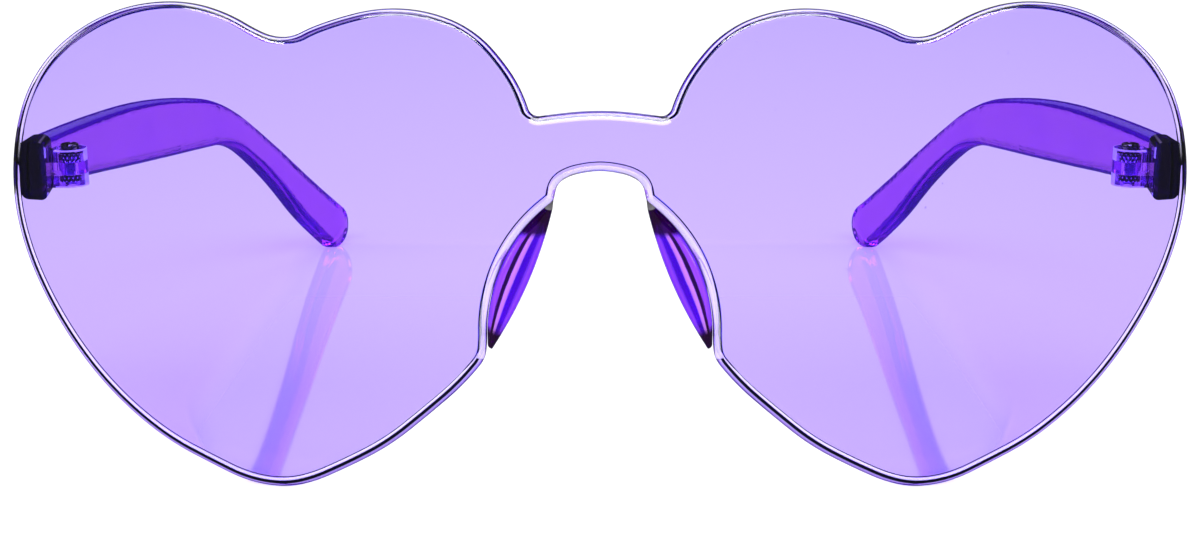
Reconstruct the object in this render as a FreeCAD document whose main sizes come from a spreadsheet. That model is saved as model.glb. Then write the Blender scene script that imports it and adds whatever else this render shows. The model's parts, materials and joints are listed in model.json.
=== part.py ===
import FreeCAD, Part
import math
import os
import Sketcher

# Heart-shaped sunglasses: a one-piece curved front, two nose pads, two end pieces and two folding temples.
# X runs to the wearer's left, Y runs back from the front towards the ears, Z is up.
# The glasses stand on the two heart tips and the two temple tips, with the table at Z = 0.

doc = FreeCAD.newDocument("heart_sunglasses")
sheet = doc.addObject("Spreadsheet::Sheet", "Sizes")

# Driving dimensions, in millimetres, and angles, in degrees
DRIVING = {
    # Front
    "lens_width": 150.3,
    "lens_height": 62.3,
    "lens_radius": 280.0,
    "lens_thickness": 2.2,
    "rim_round": 1.05,
    "heel_round": 0.95,
    "bridge_drop": 12.7,
    "bridge_height": 7.4,
    "bridge_width": 14.6,
    "bridge_crown": 0.65,
    "arch_width": 11.2,
    "arch_drop": 3.2,
    "shoulder_round": 1.3,
    # Nose pads, glued into the notches of the front
    "nose_gap_width": 28.3,
    "pad_lead": 1.0,
    "pad_foot": 21.5,
    "pad_tail": 1.5,
    "pad_top_width": 0.95,
    "pad_tail_width": 0.8,
    "pad_bow": 1.0,
    "pad_back_bow": -0.6,
    "pad_depth": 7.6,
    "pad_setback": 0.4,
    "pad_round": 0.4,
    "glue_line": 0.05,
    # End pieces, glued behind the outer edges of the front
    "end_piece_width": 2.85,
    "end_piece_flare": 0.9,
    "end_piece_height": 7.5,
    "end_piece_depth": 5.2,
    "end_piece_inset": 1.0,
    "end_piece_rise": 0.5,
    "end_piece_round": 1.0,
    # Hinge barrel of three knuckles
    "hinge_drop": 22.65,
    "hinge_inset": 6.15,
    "hinge_gap": 0.3,
    "barrel_radius": 2.15,
    "barrel_height": 4.9,
    "knuckle_gap": 0.08,
    "screw_radius": 0.6,
    "running_fit": 0.05,
    "thread_fit": 0.01,
    "head_radius": 1.15,
    "head_height": 0.6,
    "head_round": 0.25,
    "slot_width": 0.35,
    "slot_depth": 0.28,
    "bush_radius": 1.35,
    "bush_height": 0.95,
    "knurl_depth": 0.14,
    # Temples
    "temple_rise": 3.75,
    "temple_root_height": 6.8,
    "temple_reach": 115.8,
    "temple_thickness": 3.0,
    "tip_thickness": 4.0,
    "tip_radius": 4.2,
    "tip_spread": 104.5,
    "tip_fall_angle": 33.0,
    "toe_in_angle": 3.0,
    "temple_round": 1.4,
    # One overrun serves every cut
    "overrun": 2.0,
}

# Places that follow from the driving dimensions
DERIVED = {
    "half_width": "=lens_width / 2",
    "back_radius": "=lens_radius - lens_thickness",
    "bridge_top": "=lens_height - bridge_drop",
    "hinge_height": "=lens_height - hinge_drop",
    "temple_top": "=hinge_height + temple_rise",
    "end_piece_outer": "=half_width - end_piece_inset",
    "end_piece_inner": "=end_piece_outer - end_piece_width",
    "end_piece_base": "=hinge_height + end_piece_rise - end_piece_height / 2",
    "hinge_across": "=half_width - hinge_inset",
    "joint_plane": "=lens_radius - sqrt(back_radius ^ 2 - end_piece_outer ^ 2) + end_piece_depth",
    "end_piece_rear": "=joint_plane - hinge_gap / 2",
    "temple_front": "=joint_plane + hinge_gap / 2",
    "knuckle_height": "=(barrel_height - 2 * knuckle_gap) / 3",
    "barrel_base": "=hinge_height - barrel_height / 2",
    "barrel_top": "=barrel_base + barrel_height",
    "middle_base": "=barrel_base + knuckle_height + knuckle_gap",
    "upper_base": "=middle_base + knuckle_height + knuckle_gap",
    "lower_bush_base": "=barrel_base + knuckle_height - bush_height",
    "screw_bore": "=screw_radius + running_fit",
    "nut_bore": "=screw_radius + thread_fit",
    "tip_along": "=temple_front + temple_reach",
    "standing_shift": "=-(tip_along + tip_radius) / 2",
}

for row, (name, value) in enumerate({**DRIVING, **DERIVED}.items(), start=1):
    sheet.set("A%d" % row, name)
    sheet.set("B%d" % row, str(value))
    sheet.setAlias("B%d" % row, name)
doc.recompute()


def size(name):
    """The value of one named cell, as a plain number."""
    return float(sheet.get(name))


def cell(name):
    """The same cell as an expression that a property can follow."""
    return "Sizes." + name


# Heart outline on the wearer's left, from the nose round the tip to the bridge: shares of the half width
# and of the lens height, each with the heading of the outline there in degrees
HEART_SHARES = [
    (0.322, 0.1345, -40.5),
    (0.468, 0.0265, -26.0),
    (0.552, 0.0, 0.0),
    (0.640, 0.0235, 24.5),
    (0.770, 0.107, 36.0),
    (0.970, 0.425, 68.5),
    (1.0, 0.605, 90.0),
    (0.903, 0.901, 138.0),
    (0.694, 1.0, 180.0),
    (0.575, 0.9605, 210.0),
    (0.515, 0.935, 180.0),
    (0.455, 0.960, 159.5),
    (0.327, 0.9936, 180.0),
    (0.1715, 0.915, 229.0),
    (0.1264, 0.833, 246.0),
]
# Half of the nose arch: shares of the half arch width and of the arch's drop, with headings
ARCH_SHARES = [(0.52, 0.125, -14.0), (0.97, 0.75, -76.0), (1.0, 1.0, -81.0)]
# Headings of the notch at the top and the foot of a nose pad
NOTCH_HEADINGS = (-40.0, -90.0)
# Where the notch runs out into the flank: shares of the notch's width and of the foot's height
NOTCH_TOE_SHARES = (0.11, 0.20)
NOTCH_TOE_HEADING = -52.0
BRIDGE_HEADING = 172.0

# Headings of the blunt top and tail of a nose pad, from its seat towards its nose side
PAD_END_HEADINGS = (190.0, 218.0)

# Temple in side view: shares of its reach and of the height of its top edge, with headings
TEMPLE_TOP_SHARES = [(0.692, 0.730, 151.0), (0.538, 0.880, 169.0), (0.0, 1.0, 178.5)]
TEMPLE_ROOT_HEADING = -6.0
TEMPLE_BOTTOM_SHARES = [(0.469, 0.704, -5.5), (0.685, 0.588, -30.0)]
# Height of the top edge per reach at which those headings hold, and by which they steepen or flatten
TEMPLE_STEEP_SHARE = 0.3748

KNURL_TEETH = 18

# Differences smaller than this count as none
TINY = 1e-6


def heading_vector(degrees):
    angle = math.radians(degrees)
    return FreeCAD.Vector(math.cos(angle), math.sin(angle), 0)


def tangent_arc(start, direction, end):
    """The arc that leaves start along direction and reaches end, or a line where they are in line."""
    chord = end - start
    along = FreeCAD.Vector(chord).normalize()
    aside = direction - along * direction.dot(along)
    if aside.Length < TINY:
        return Part.LineSegment(start, end)
    turn = math.acos(max(-1.0, min(1.0, direction.dot(along))))
    bulge = chord.Length / 2 * math.tan(turn / 2)
    return Part.Arc(start, start + chord * 0.5 + aside.normalize() * bulge, end)


def biarc(first, second):
    """Two arcs that meet smoothly between two knots, each knot a point and a heading in degrees."""
    start, leave = FreeCAD.Vector(first[0], first[1], 0), heading_vector(first[2])
    end, arrive = FreeCAD.Vector(second[0], second[1], 0), heading_vector(second[2])
    chord = end - start
    both = leave + arrive
    spread = 2 * (1 - leave.dot(arrive))
    if spread < TINY ** 2:
        reach = chord.dot(chord) / (4 * chord.dot(arrive))
    else:
        reach = (math.sqrt(chord.dot(both) ** 2 + spread * chord.dot(chord)) - chord.dot(both)) / spread
    meet = (start + end + (leave - arrive) * reach) * 0.5
    return [tangent_arc(start, leave, meet), tangent_arc(end, arrive * -1, meet)]


def turned(knot, radius, heading):
    """The knot at the end of an arc that turns left from this knot to a new heading."""
    begin, end = math.radians(knot[2]), math.radians(heading)
    across = knot[0] + radius * (math.sin(end) - math.sin(begin))
    return (across, knot[1] + radius * (math.cos(begin) - math.cos(end)), heading)


def onward(knot, length):
    """The knot that lies straight ahead of this one."""
    step = heading_vector(knot[2]) * length
    return (knot[0] + step.x, knot[1] + step.y, knot[2])


def smooth_edges(knots):
    """Tangent arcs through a row of knots."""
    return [edge for pair in zip(knots, knots[1:]) for edge in biarc(*pair)]


def polygon_edges(points):
    """Straight edges through points, closed back to the first."""
    corners = [FreeCAD.Vector(x, y, 0) for x, y in points]
    return [Part.LineSegment(a, b) for a, b in zip(corners, corners[1:] + corners[:1])]


def new_body(label):
    body = doc.addObject("PartDesign::Body", label)
    body.Label = label
    return body


def add_sketch(body, name, role, edges, offset=None):
    """A sketch on one of the body's own planes, raised along its normal by the expression offset."""
    sketch = body.newObject("Sketcher::SketchObject", name)
    plane = next(feature for feature in body.Origin.OriginFeatures if feature.Role == role)
    sketch.AttachmentSupport = [(plane, "")]
    sketch.MapMode = "FlatFace"
    if offset:
        sketch.setExpression("AttachmentOffset.Base.z", offset)
    sketch.addGeometry(edges)
    return sketch


def add_circle(body, name, across, along, radius, offset):
    """A circle in plan, its centre and radius held by named constraints."""
    centre = FreeCAD.Vector(size(across), size(along), 0)
    circle = Part.Circle(centre, FreeCAD.Vector(0, 0, 1), size(radius))
    sketch = add_sketch(body, name, "XY_Plane", [circle], offset)
    held = [
        ("across", Sketcher.Constraint("DistanceX", -1, 1, 0, 3, size(across)), across),
        ("along", Sketcher.Constraint("DistanceY", -1, 1, 0, 3, size(along)), along),
        ("radius", Sketcher.Constraint("Radius", 0, size(radius)), radius),
    ]
    for word, constraint, source in held:
        sketch.renameConstraint(sketch.addConstraint(constraint), word)
        sketch.setExpression("Constraints." + word, cell(source))
    return sketch


def add_pad(body, name, sketch, length):
    pad = body.newObject("PartDesign::Pad", name)
    pad.Profile = sketch
    pad.setExpression("Length", length)
    doc.recompute()
    return pad


def add_cut(body, name, sketch, length=None, upward=False):
    """A pocket, through everything both ways where no length is given."""
    before = body.Shape.Volume
    pocket = body.newObject("PartDesign::Pocket", name)
    pocket.Profile = sketch
    if length:
        pocket.setExpression("Length", length)
        pocket.Reversed = upward
    else:
        pocket.SideType = "Two sides"
        pocket.Type = "ThroughAll"
        pocket.Type2 = "ThroughAll"
    doc.recompute()
    if body.Shape.Volume >= before:
        raise RuntimeError(name + " cuts nothing")
    return pocket


def add_fillet(body, name, pick, radius):
    """A fillet on the edges that the function pick finds in the shape so far."""
    base = body.Tip
    picked = pick(base.Shape)
    names = ["Edge%d" % place for place, edge in enumerate(base.Shape.Edges, start=1)
             if any(edge.isSame(other) for other in picked)]
    fillet = body.newObject("PartDesign::Fillet", name)
    fillet.Base = (base, names)
    fillet.setExpression("Radius", radius)
    doc.recompute()
    return fillet


def edges_of_cylinder(shape, radius):
    """The edges round the faces of a cylinder of this radius."""
    faces = [face for face in shape.Faces if isinstance(face.Surface, Part.Cylinder)]
    return [edge for face in faces if abs(face.Surface.Radius - radius) < TINY for edge in face.Edges]


def edges_through(shape, points):
    """The edges that pass through any of these points."""
    marks = [Part.Vertex(point) for point in points]
    return [edge for edge in shape.Edges if any(edge.distToShape(mark)[0] < TINY for mark in marks)]


def frame_edges(low, high):
    """A rectangle between two corners."""
    return polygon_edges([low, (high[0], low[1]), high, (low[0], high[1])])


def place(body):
    """Stands the piece with the middle of the whole object over the origin."""
    body.setExpression("Placement.Base.y", cell("standing_shift"))


def notch_knots():
    """The nose arch and one notch, from the middle of the arch down to the flank of the heart."""
    arch_top = size("bridge_top") - size("bridge_height")
    half_arch = size("arch_width") / 2
    half_gap = size("nose_gap_width") / 2
    arch = [(half_arch * x, arch_top - size("arch_drop") * z, turn) for x, z, turn in ARCH_SHARES]
    shoulder = turned(arch[-1], size("shoulder_round"), NOTCH_HEADINGS[0])
    foot = (half_gap, size("pad_foot"), NOTCH_HEADINGS[1])
    out_share, fall_share = NOTCH_TOE_SHARES
    toe_across = half_gap + (half_gap - half_arch) * out_share
    toe = (toe_across, size("pad_foot") * (1 - fall_share), NOTCH_TOE_HEADING)
    return [(0, arch_top, 0)] + arch + [shoulder, onward(shoulder, size("pad_lead")), foot, toe]


def front_outline():
    """The whole outline of the front, drawn for one side and mirrored for the other."""
    heart = [(size("half_width") * x, size("lens_height") * z, turn) for x, z, turn in HEART_SHARES]
    bridge = [
        (size("bridge_width") / 2, size("bridge_top") - size("bridge_crown"), BRIDGE_HEADING),
        (0, size("bridge_top"), 180),
    ]
    one_side = notch_knots() + heart + bridge
    other_side = [(-x, z, -turn) for x, z, turn in reversed(one_side[:-1])]
    return smooth_edges(one_side + other_side)


def front_lens():
    """A vertical cylinder shell cut to the outline, with its rim rounded in front and behind."""
    body = new_body("front_lens")
    margin = size("overrun")
    reach = size("half_width") + margin
    front, back = size("lens_radius"), size("back_radius")
    front_edge = front - math.sqrt(front ** 2 - reach ** 2)
    back_edge = front - math.sqrt(back ** 2 - reach ** 2)
    corners = [FreeCAD.Vector(x, y, 0) for x, y in
               [(-reach, front_edge), (reach, front_edge), (reach, back_edge), (-reach, back_edge)]]
    shell = [
        Part.Arc(corners[0], FreeCAD.Vector(0, 0, 0), corners[1]),
        Part.LineSegment(corners[1], corners[2]),
        Part.Arc(corners[2], FreeCAD.Vector(0, size("lens_thickness"), 0), corners[3]),
        Part.LineSegment(corners[3], corners[0]),
    ]
    plan = add_sketch(body, "lens_plan", "XY_Plane", shell, "-" + cell("overrun"))
    add_pad(body, "lens_shell", plan, cell("lens_height") + " + 2 * " + cell("overrun"))
    outside = frame_edges((-2 * reach, -2 * margin), (2 * reach, size("lens_height") + 2 * margin))
    outline = add_sketch(body, "lens_outline", "XZ_Plane", outside + front_outline())
    add_cut(body, "lens_trim", outline)
    add_fillet(body, "lens_rim", lambda shape: edges_of_cylinder(shape, front), cell("rim_round"))
    add_fillet(body, "lens_heel", lambda shape: edges_of_cylinder(shape, back), cell("heel_round"))
    return body


def bowed_arc(start, end, bow):
    """The arc from start to end whose middle stands out to the left of the chord by bow."""
    chord = end - start
    aside = FreeCAD.Vector(-chord.y, chord.x, 0).normalize()
    return Part.Arc(start, (start + end) * 0.5 + aside * bow, end)


def pad_edges(bow):
    """A pad in front view: its nose side, with this bow, then its top, its seat, its heel and its tail."""
    seat = []
    for x, z, turn in notch_knots()[-3:-1]:
        inward = heading_vector(turn - 90) * size("glue_line")
        seat.append((x + inward.x, z + inward.y, turn))
    top, foot = [FreeCAD.Vector(knot[0], knot[1], 0) for knot in seat]
    heel = foot - FreeCAD.Vector(0, size("pad_tail"), 0)
    brow = top + heading_vector(PAD_END_HEADINGS[0]) * size("pad_top_width")
    tail = heel + heading_vector(PAD_END_HEADINGS[1]) * size("pad_tail_width")
    ends = [Part.LineSegment(*pair) for pair in ((brow, top), (foot, heel), (heel, tail))]
    return [bowed_arc(tail, brow, bow)] + biarc(*seat) + ends


def nose_mark(bow, depth):
    """The middle of the pad's nose side, at this depth behind the front of the lens."""
    side = pad_edges(bow)[0]
    middle = side.value((side.FirstParameter + side.LastParameter) / 2)
    return FreeCAD.Vector(middle.x, depth, middle.y)


def left_nose_pad():
    """A leaf-shaped wedge in the notch, wide at the front and thin towards the face."""
    body = new_body("left_nose_pad")
    bow, back_bow = size("pad_bow"), size("pad_back_bow")
    front_depth = size("pad_setback")
    back_depth = front_depth + size("pad_depth")
    front = add_sketch(body, "pad_front", "XZ_Plane", pad_edges(bow), "-" + cell("pad_setback"))
    back = add_sketch(body, "pad_back", "XZ_Plane", pad_edges(back_bow),
                      "-(%s + %s)" % (cell("pad_setback"), cell("pad_depth")))
    loft = body.newObject("PartDesign::AdditiveLoft", "pad_wedge")
    loft.Profile = back
    loft.Sections = [front]
    loft.Ruled = True
    doc.recompute()
    marks = [nose_mark(bow, front_depth), nose_mark(back_bow, back_depth)]
    add_fillet(body, "pad_nose_edges", lambda shape: edges_through(shape, marks), cell("pad_round"))
    place(body)
    return body


def knuckle_edges(side, inner):
    """A knuckle in plan: round about the hinge axis, with a web to the piece that carries it.

    side is 1 for a web behind the joint plane and -1 for one in front of it."""
    across, along, radius = size("hinge_across"), size("joint_plane"), size("barrel_radius")
    half_gap = size("hinge_gap") / 2
    near = FreeCAD.Vector(across + math.sqrt(radius ** 2 - half_gap ** 2), along + side * half_gap, 0)
    far = FreeCAD.Vector(across, along + side * radius, 0)
    near_root = FreeCAD.Vector(inner, near.y, 0)
    far_root = FreeCAD.Vector(inner, far.y, 0)
    return [
        Part.LineSegment(near_root, near),
        Part.Arc(near, FreeCAD.Vector(across - radius, along, 0), far),
        Part.LineSegment(far, far_root),
        Part.LineSegment(far_root, near_root),
    ]


def left_end_piece():
    """A block glued behind the lens edge, wider at its seat, with the upper and lower knuckles of the hinge."""
    body = new_body("left_end_piece")
    outer, inner, rear = size("end_piece_outer"), size("end_piece_inner"), size("end_piece_rear")
    seat_inner = inner - size("end_piece_flare")
    seat_radius = size("back_radius") - size("glue_line")
    seat = [FreeCAD.Vector(x, size("lens_radius") - math.sqrt(seat_radius ** 2 - x ** 2), 0)
            for x in (seat_inner, (seat_inner + outer) / 2, outer)]
    rear_corners = [FreeCAD.Vector(x, rear, 0) for x in (outer, inner)]
    block = [
        Part.Arc(*seat),
        Part.LineSegment(seat[2], rear_corners[0]),
        Part.LineSegment(*rear_corners),
        Part.LineSegment(rear_corners[1], seat[0]),
    ]
    plan = add_sketch(body, "end_plan", "XY_Plane", block, cell("end_piece_base"))
    add_pad(body, "end_block", plan, cell("end_piece_height"))
    add_fillet(body, "end_corners", edges_along_y, cell("end_piece_round"))
    root = (inner + outer) / 2
    for level in ("barrel", "upper"):
        lug = add_sketch(body, level + "_lug", "XY_Plane", knuckle_edges(-1, root), cell(level + "_base"))
        add_pad(body, level + "_knuckle", lug, cell("knuckle_height"))
    bore = add_circle(body, "screw_hole", "hinge_across", "joint_plane", "screw_bore", cell("hinge_height"))
    add_cut(body, "screw_bore", bore)
    for level in ("lower_bush_base", "upper_base"):
        seat = add_circle(body, level + "_seat", "hinge_across", "joint_plane", "bush_radius", cell(level))
        add_cut(body, level + "_pocket", seat, cell("bush_height"), upward=True)
    place(body)
    return body


def edges_along_y(shape):
    """The straight edges that run more from front to back than any other way."""
    lines = [(edge, edge.Curve.Direction) for edge in shape.Edges if isinstance(edge.Curve, Part.Line)]
    return [edge for edge, way in lines if abs(way.y) > max(abs(way.x), abs(way.z))]


def temple_heading(degrees):
    """A heading of the arm's side view, steepened or flattened as the arm is higher or lower for its reach."""
    steeper = size("temple_top") / size("temple_reach") / TEMPLE_STEEP_SHARE
    direction = heading_vector(degrees)
    return math.degrees(math.atan2(direction.y * steeper, direction.x))


def long_edges(shape, front):
    """All edges of the arm apart from those of its butt face."""
    return [edge for edge in shape.Edges if max(corner.Y for corner in edge.Vertexes) > front + TINY]


def left_temple():
    """A flat arm that bows inwards, bends down over the ear and ends in a round tip."""
    body = new_body("left_temple")
    front, tip = size("temple_front"), size("tip_along")
    top, radius = size("temple_top"), size("tip_radius")
    fall = -temple_heading(-size("tip_fall_angle"))
    normal = heading_vector(90 - fall) * radius
    onward = heading_vector(-fall) * radius
    centre = FreeCAD.Vector(tip, radius, 0)
    under, over = centre - normal, centre + normal
    reach = size("temple_reach")
    lower = [(front, top - size("temple_root_height"), temple_heading(TEMPLE_ROOT_HEADING))]
    lower += [(front + reach * x, top * z, temple_heading(turn)) for x, z, turn in TEMPLE_BOTTOM_SHARES]
    lower += [(under.x, under.y, -fall)]
    upper = [(over.x, over.y, 180 - fall)]
    upper += [(front + reach * x, top * z, temple_heading(turn)) for x, z, turn in TEMPLE_TOP_SHARES]
    butt = [FreeCAD.Vector(knot[0], knot[1], 0) for knot in (upper[-1], lower[0])]
    profile = smooth_edges(lower) + [Part.Arc(under, centre + onward, over)] + smooth_edges(upper)
    profile.append(Part.LineSegment(*butt))
    side = add_sketch(body, "arm_side", "YZ_Plane", profile)
    add_pad(body, "arm_blank", side, cell("half_width") + " + " + cell("overrun"))

    end = tip + radius + size("overrun")
    toe_in = heading_vector(90 + size("toe_in_angle"))
    outer = [FreeCAD.Vector(size("half_width"), front, 0), FreeCAD.Vector(size("tip_spread") / 2, end, 0)]
    inner = [outer[0] - FreeCAD.Vector(size("temple_thickness"), 0, 0),
             outer[1] - FreeCAD.Vector(size("tip_thickness"), 0, 0)]
    band = [tangent_arc(outer[0], toe_in, outer[1]), Part.LineSegment(outer[1], inner[1]),
            tangent_arc(inner[0], toe_in, inner[1]), Part.LineSegment(inner[0], outer[0])]
    margin = size("overrun")
    outside = frame_edges((-margin, front - margin), (size("half_width") + 2 * margin, end + margin))
    plan = add_sketch(body, "arm_plan", "XY_Plane", outside + band)
    add_cut(body, "arm_bow", plan)
    add_fillet(body, "arm_edges", lambda shape: long_edges(shape, front), cell("temple_round"))

    root = size("half_width") - size("temple_thickness") / 2
    lug = add_sketch(body, "middle_lug", "XY_Plane", knuckle_edges(1, root), cell("middle_base"))
    add_pad(body, "middle_knuckle", lug, cell("knuckle_height"))
    bore = add_circle(body, "pivot_hole", "hinge_across", "joint_plane", "screw_bore", cell("middle_base"))
    add_cut(body, "pivot_bore", bore, cell("knuckle_height"), upward=True)
    place(body)
    return body


def left_hinge_screw():
    """A slotted screw: its head stands on the upper knuckle and its end sits in the lower nut."""
    body = new_body("left_hinge_screw")
    shank = add_circle(body, "shank_circle", "hinge_across", "joint_plane", "screw_radius",
                       cell("lower_bush_base"))
    add_pad(body, "shank", shank, cell("barrel_top") + " - " + cell("lower_bush_base"))
    head = add_circle(body, "head_circle", "hinge_across", "joint_plane", "head_radius", cell("barrel_top"))
    add_pad(body, "head", head, cell("head_height"))
    across, along = size("hinge_across"), size("joint_plane")
    crown = FreeCAD.Vector(across - size("head_radius"), along, size("barrel_top") + size("head_height"))
    add_fillet(body, "head_crown", lambda shape: edges_through(shape, [crown]), cell("head_round"))
    half_slot = size("slot_width") / 2
    half_length = size("head_radius") + size("overrun")
    low = (across - half_slot, along - half_length)
    high = (across + half_slot, along + half_length)
    slot = add_sketch(body, "slot_line", "XY_Plane", frame_edges(low, high),
                      "%s + %s" % (cell("barrel_top"), cell("head_height")))
    add_cut(body, "driver_slot", slot, cell("slot_depth"))
    place(body)
    return body


def knurled_ring(label, base, bore):
    """A metal ring with a knurled rim, pressed into a knuckle."""
    body = new_body(label)
    across, along = size("hinge_across"), size("joint_plane")
    crest = size("bush_radius")
    root = crest - size("knurl_depth")
    points = []
    for step in range(2 * KNURL_TEETH):
        radius = crest if step % 2 == 0 else root
        ray = heading_vector(180 * step / KNURL_TEETH) * radius
        points.append((across + ray.x, along + ray.y))
    rim = add_sketch(body, label + "_rim", "XY_Plane", polygon_edges(points), cell(base))
    add_pad(body, label + "_blank", rim, cell("bush_height"))
    hole = add_circle(body, label + "_hole", "hinge_across", "joint_plane", bore, cell(base))
    add_cut(body, label + "_bore", hole, cell("bush_height"), upward=True)
    place(body)
    return body


def right_copy(left):
    """The same piece mirrored to the wearer's right."""
    mirrored = doc.addObject("Part::Mirroring", left.Label.replace("left_", "right_"))
    mirrored.Label = mirrored.Name
    mirrored.Source = left
    mirrored.Normal = FreeCAD.Vector(1, 0, 0)
    return mirrored


front = front_lens()
place(front)
left_pieces = [
    left_nose_pad(),
    left_end_piece(),
    left_temple(),
    left_hinge_screw(),
    knurled_ring("left_hinge_bush", "upper_base", "screw_bore"),
    knurled_ring("left_hinge_nut", "lower_bush_base", "nut_bore"),
]
pieces = [front] + left_pieces + [right_copy(piece) for piece in left_pieces]
doc.recompute()

for item in doc.Objects:
    if "Invalid" in item.State or "Error" in item.State:
        raise RuntimeError("%s failed: %s" % (item.Label, item.State))
for piece in pieces:
    if piece.Shape.isNull() or not piece.Shape.isValid():
        raise RuntimeError(piece.Label + " has no valid shape")

os.makedirs("parts", exist_ok=True)
for piece in pieces:
    piece.Shape.exportStep("parts/%s.step" % piece.Label)
    box = piece.Shape.BoundBox
    print("%-18s %9.1f mm3  X %.2f to %.2f  Y %.2f to %.2f  Z %.2f to %.2f" % (
        piece.Label, piece.Shape.Volume, box.XMin, box.XMax, box.YMin, box.YMax, box.ZMin, box.ZMax))
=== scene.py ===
import json
import math

import bpy
import numpy as np
from mathutils import Euler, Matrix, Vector
from mathutils.geometry import delaunay_2d_cdt


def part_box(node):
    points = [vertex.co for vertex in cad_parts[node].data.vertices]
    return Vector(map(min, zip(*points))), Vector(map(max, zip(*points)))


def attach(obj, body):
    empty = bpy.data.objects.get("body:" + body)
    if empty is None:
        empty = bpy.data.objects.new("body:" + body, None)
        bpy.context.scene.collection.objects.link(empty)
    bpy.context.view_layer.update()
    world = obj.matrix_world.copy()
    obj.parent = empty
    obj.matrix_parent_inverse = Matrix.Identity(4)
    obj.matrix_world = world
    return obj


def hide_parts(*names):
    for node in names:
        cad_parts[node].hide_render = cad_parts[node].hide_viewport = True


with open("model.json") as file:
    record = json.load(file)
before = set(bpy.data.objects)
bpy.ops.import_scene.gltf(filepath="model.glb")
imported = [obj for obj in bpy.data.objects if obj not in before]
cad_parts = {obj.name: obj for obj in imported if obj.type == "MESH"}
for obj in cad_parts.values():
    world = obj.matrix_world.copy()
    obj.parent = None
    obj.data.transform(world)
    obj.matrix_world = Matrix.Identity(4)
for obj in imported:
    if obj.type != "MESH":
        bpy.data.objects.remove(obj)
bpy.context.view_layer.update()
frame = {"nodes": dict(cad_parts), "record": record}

MM = 0.001

# Camera, in the object's own frame: on the middle plane, in front of the lens and looking down
CAMERA_PLACE = Vector((0, -294.155, 88.86)) * MM
CAMERA_PITCH = 14.713
CAMERA_LENS = 56.55
SENSOR_WIDTH = 36.0

# Soft light in front
SOFTBOX_PLACE = Vector((0, -0.98, 0.90))
SOFTBOX_SIZE = (1.3, 0.5)
SOFTBOX_POWER = 36.0

# Table: its size, its colours, and how strongly it glows outside its polished patch and inside it
FLOOR_HALF = 3.0
FLOOR_DROP = 0.02 * MM
WHITE = (1, 1, 1, 1)
TABLE_COLOUR = (0.86, 0.86, 0.87, 1)
TABLE_SHADE = (0.06, 0.06, 0.06, 1)
TABLE_GLOW_SHARE = 0.50
TABLE_GLOW_LEVELS = (0.92, 2.12)
TABLE_FRONT = -76 * MM
TABLE_FRONT_BLUR = 4 * MM
# Polished patch under the arms: its reach, and the curve in which it ends below the foot of each heart
PATCH_HALF = 54 * MM
PATCH_REAR = 72 * MM
PATCH_FRONT = -64 * MM
PATCH_BLUR = 8 * MM
PATCH_END = (-66 * MM, -63 * MM)
PATCH_BEND = 92.0
PATCH_REST_SHARE = 0.06
HEART_FOOT = 41.5 * MM
# Its finish: the mirrored share at its rear and the gain towards the front
PATCH_GLOSS_SHARE = 0.52
PATCH_GAIN_SHARE = 0.18
PATCH_ROUGHNESS = 0.06
# How far its normal leans outwards at either side, and half the width over which the lean changes sides
PATCH_LEAN = 0.050
PATCH_LEAN_HALF = 20 * MM

# Room: levels of light, and where each part of it begins and ends, in parts of a direction of length 1
ROOM_LEVEL = 0.02
ROOM_LEVEL_THROUGH = 0.15
ROOM_FILL = 0.22
CEILING_LEVEL = 0.95
CEILING_HEIGHTS = (0.72, 0.84)
CEILING_CORE_LEVEL = 7.0
CEILING_CORE_HEIGHTS = (0.93, 0.96)
STRIP_LEVEL = 5.0
STRIP_SIDES = (0.84, 0.90)
STRIP_FOOT = (0.12, 0.18)
STRIP_HEAD = (0.60, 0.50)
BACKDROP_LEVEL = 0.8
BACKDROP_DEPTHS = (0.62, 0.78)
BACKDROP_HEAD = (0.46, 0.36)
FRONT_DEPTHS = (-0.30, -0.45)
# Window of the backdrop that the table mirrors, and its level, which rises with the height
WINDOW_FOOT = (0.205, 0.235)
WINDOW_SIDES = (0.26, 0.23)
WINDOW_LEVEL = 0.60
WINDOW_GAIN = 0.27
WINDOW_RISE = (0.237, 0.342)

# Front: its curve and the section of its rim
LENS_RADIUS = 280 * MM
LENS_THICKNESS = 2.2 * MM
RIM_ROUND = 1.05 * MM
HEEL_ROUND = 0.95 * MM
GROOVE_WIDTH = 0.2 * MM
GROOVE_DEPTH = 0.08 * MM
# Level strip inside the front round, which narrows towards the nose
RIM_LAND = 0.5 * MM
LAND_GROWTH = 3 * MM
LAND_LEAST_SHARE = 0.1
# Bands of the rim at the top, at the sides and at the foot of the front, painted shade and highlight for
# light bent by the rounded edge: a dark line between two pale ones
RIM_LINE_INSETS = (0.34 * MM, 0.75 * MM, 0.84 * MM)
RIM_LINE_HALVES = (0.04 * MM, 0.16 * MM, 0.22 * MM)
OUTER_PALE = {"low": (0.05 * MM, 0.36 * MM, 0.40 * MM), "high": (0.24 * MM, 0.60 * MM, 0.60 * MM),
              "share": (0.42, 0.40, 0.03)}
INNER_PALE = {"low": (0.48 * MM, 0.91 * MM, 1.10 * MM), "high": (0.60 * MM, 1.20 * MM, 1.45 * MM),
              "share": (0.03, 0.22, 0.32)}
PALE_BLUR = 0.07 * MM
# How much finer the groove's painted dark line is at the top, at the sides and at the foot
GROOVE_LINE_FINENESS = (5.0, 1.0, 1.0)
# Stretch of the rim without pale bands, left violet as painted shade of the hinge's dark block seen through
# it: from the foot of each hinge's block to this far above its top
SHADE_RISE = 6 * MM
SHADE_BLUR = 2 * MM
# Stretch at the bridge and the nose, with one painted pale band and no painted dark line on the front round:
# half widths above and below a height
BRIDGE_HALF = 8.2 * MM
NOSE_HALF = 14.6 * MM
BRIDGE_FOOT = 45 * MM
NOSE_PALE = {"low": 0.15 * MM, "high": 0.95 * MM, "share": 0.20}

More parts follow.
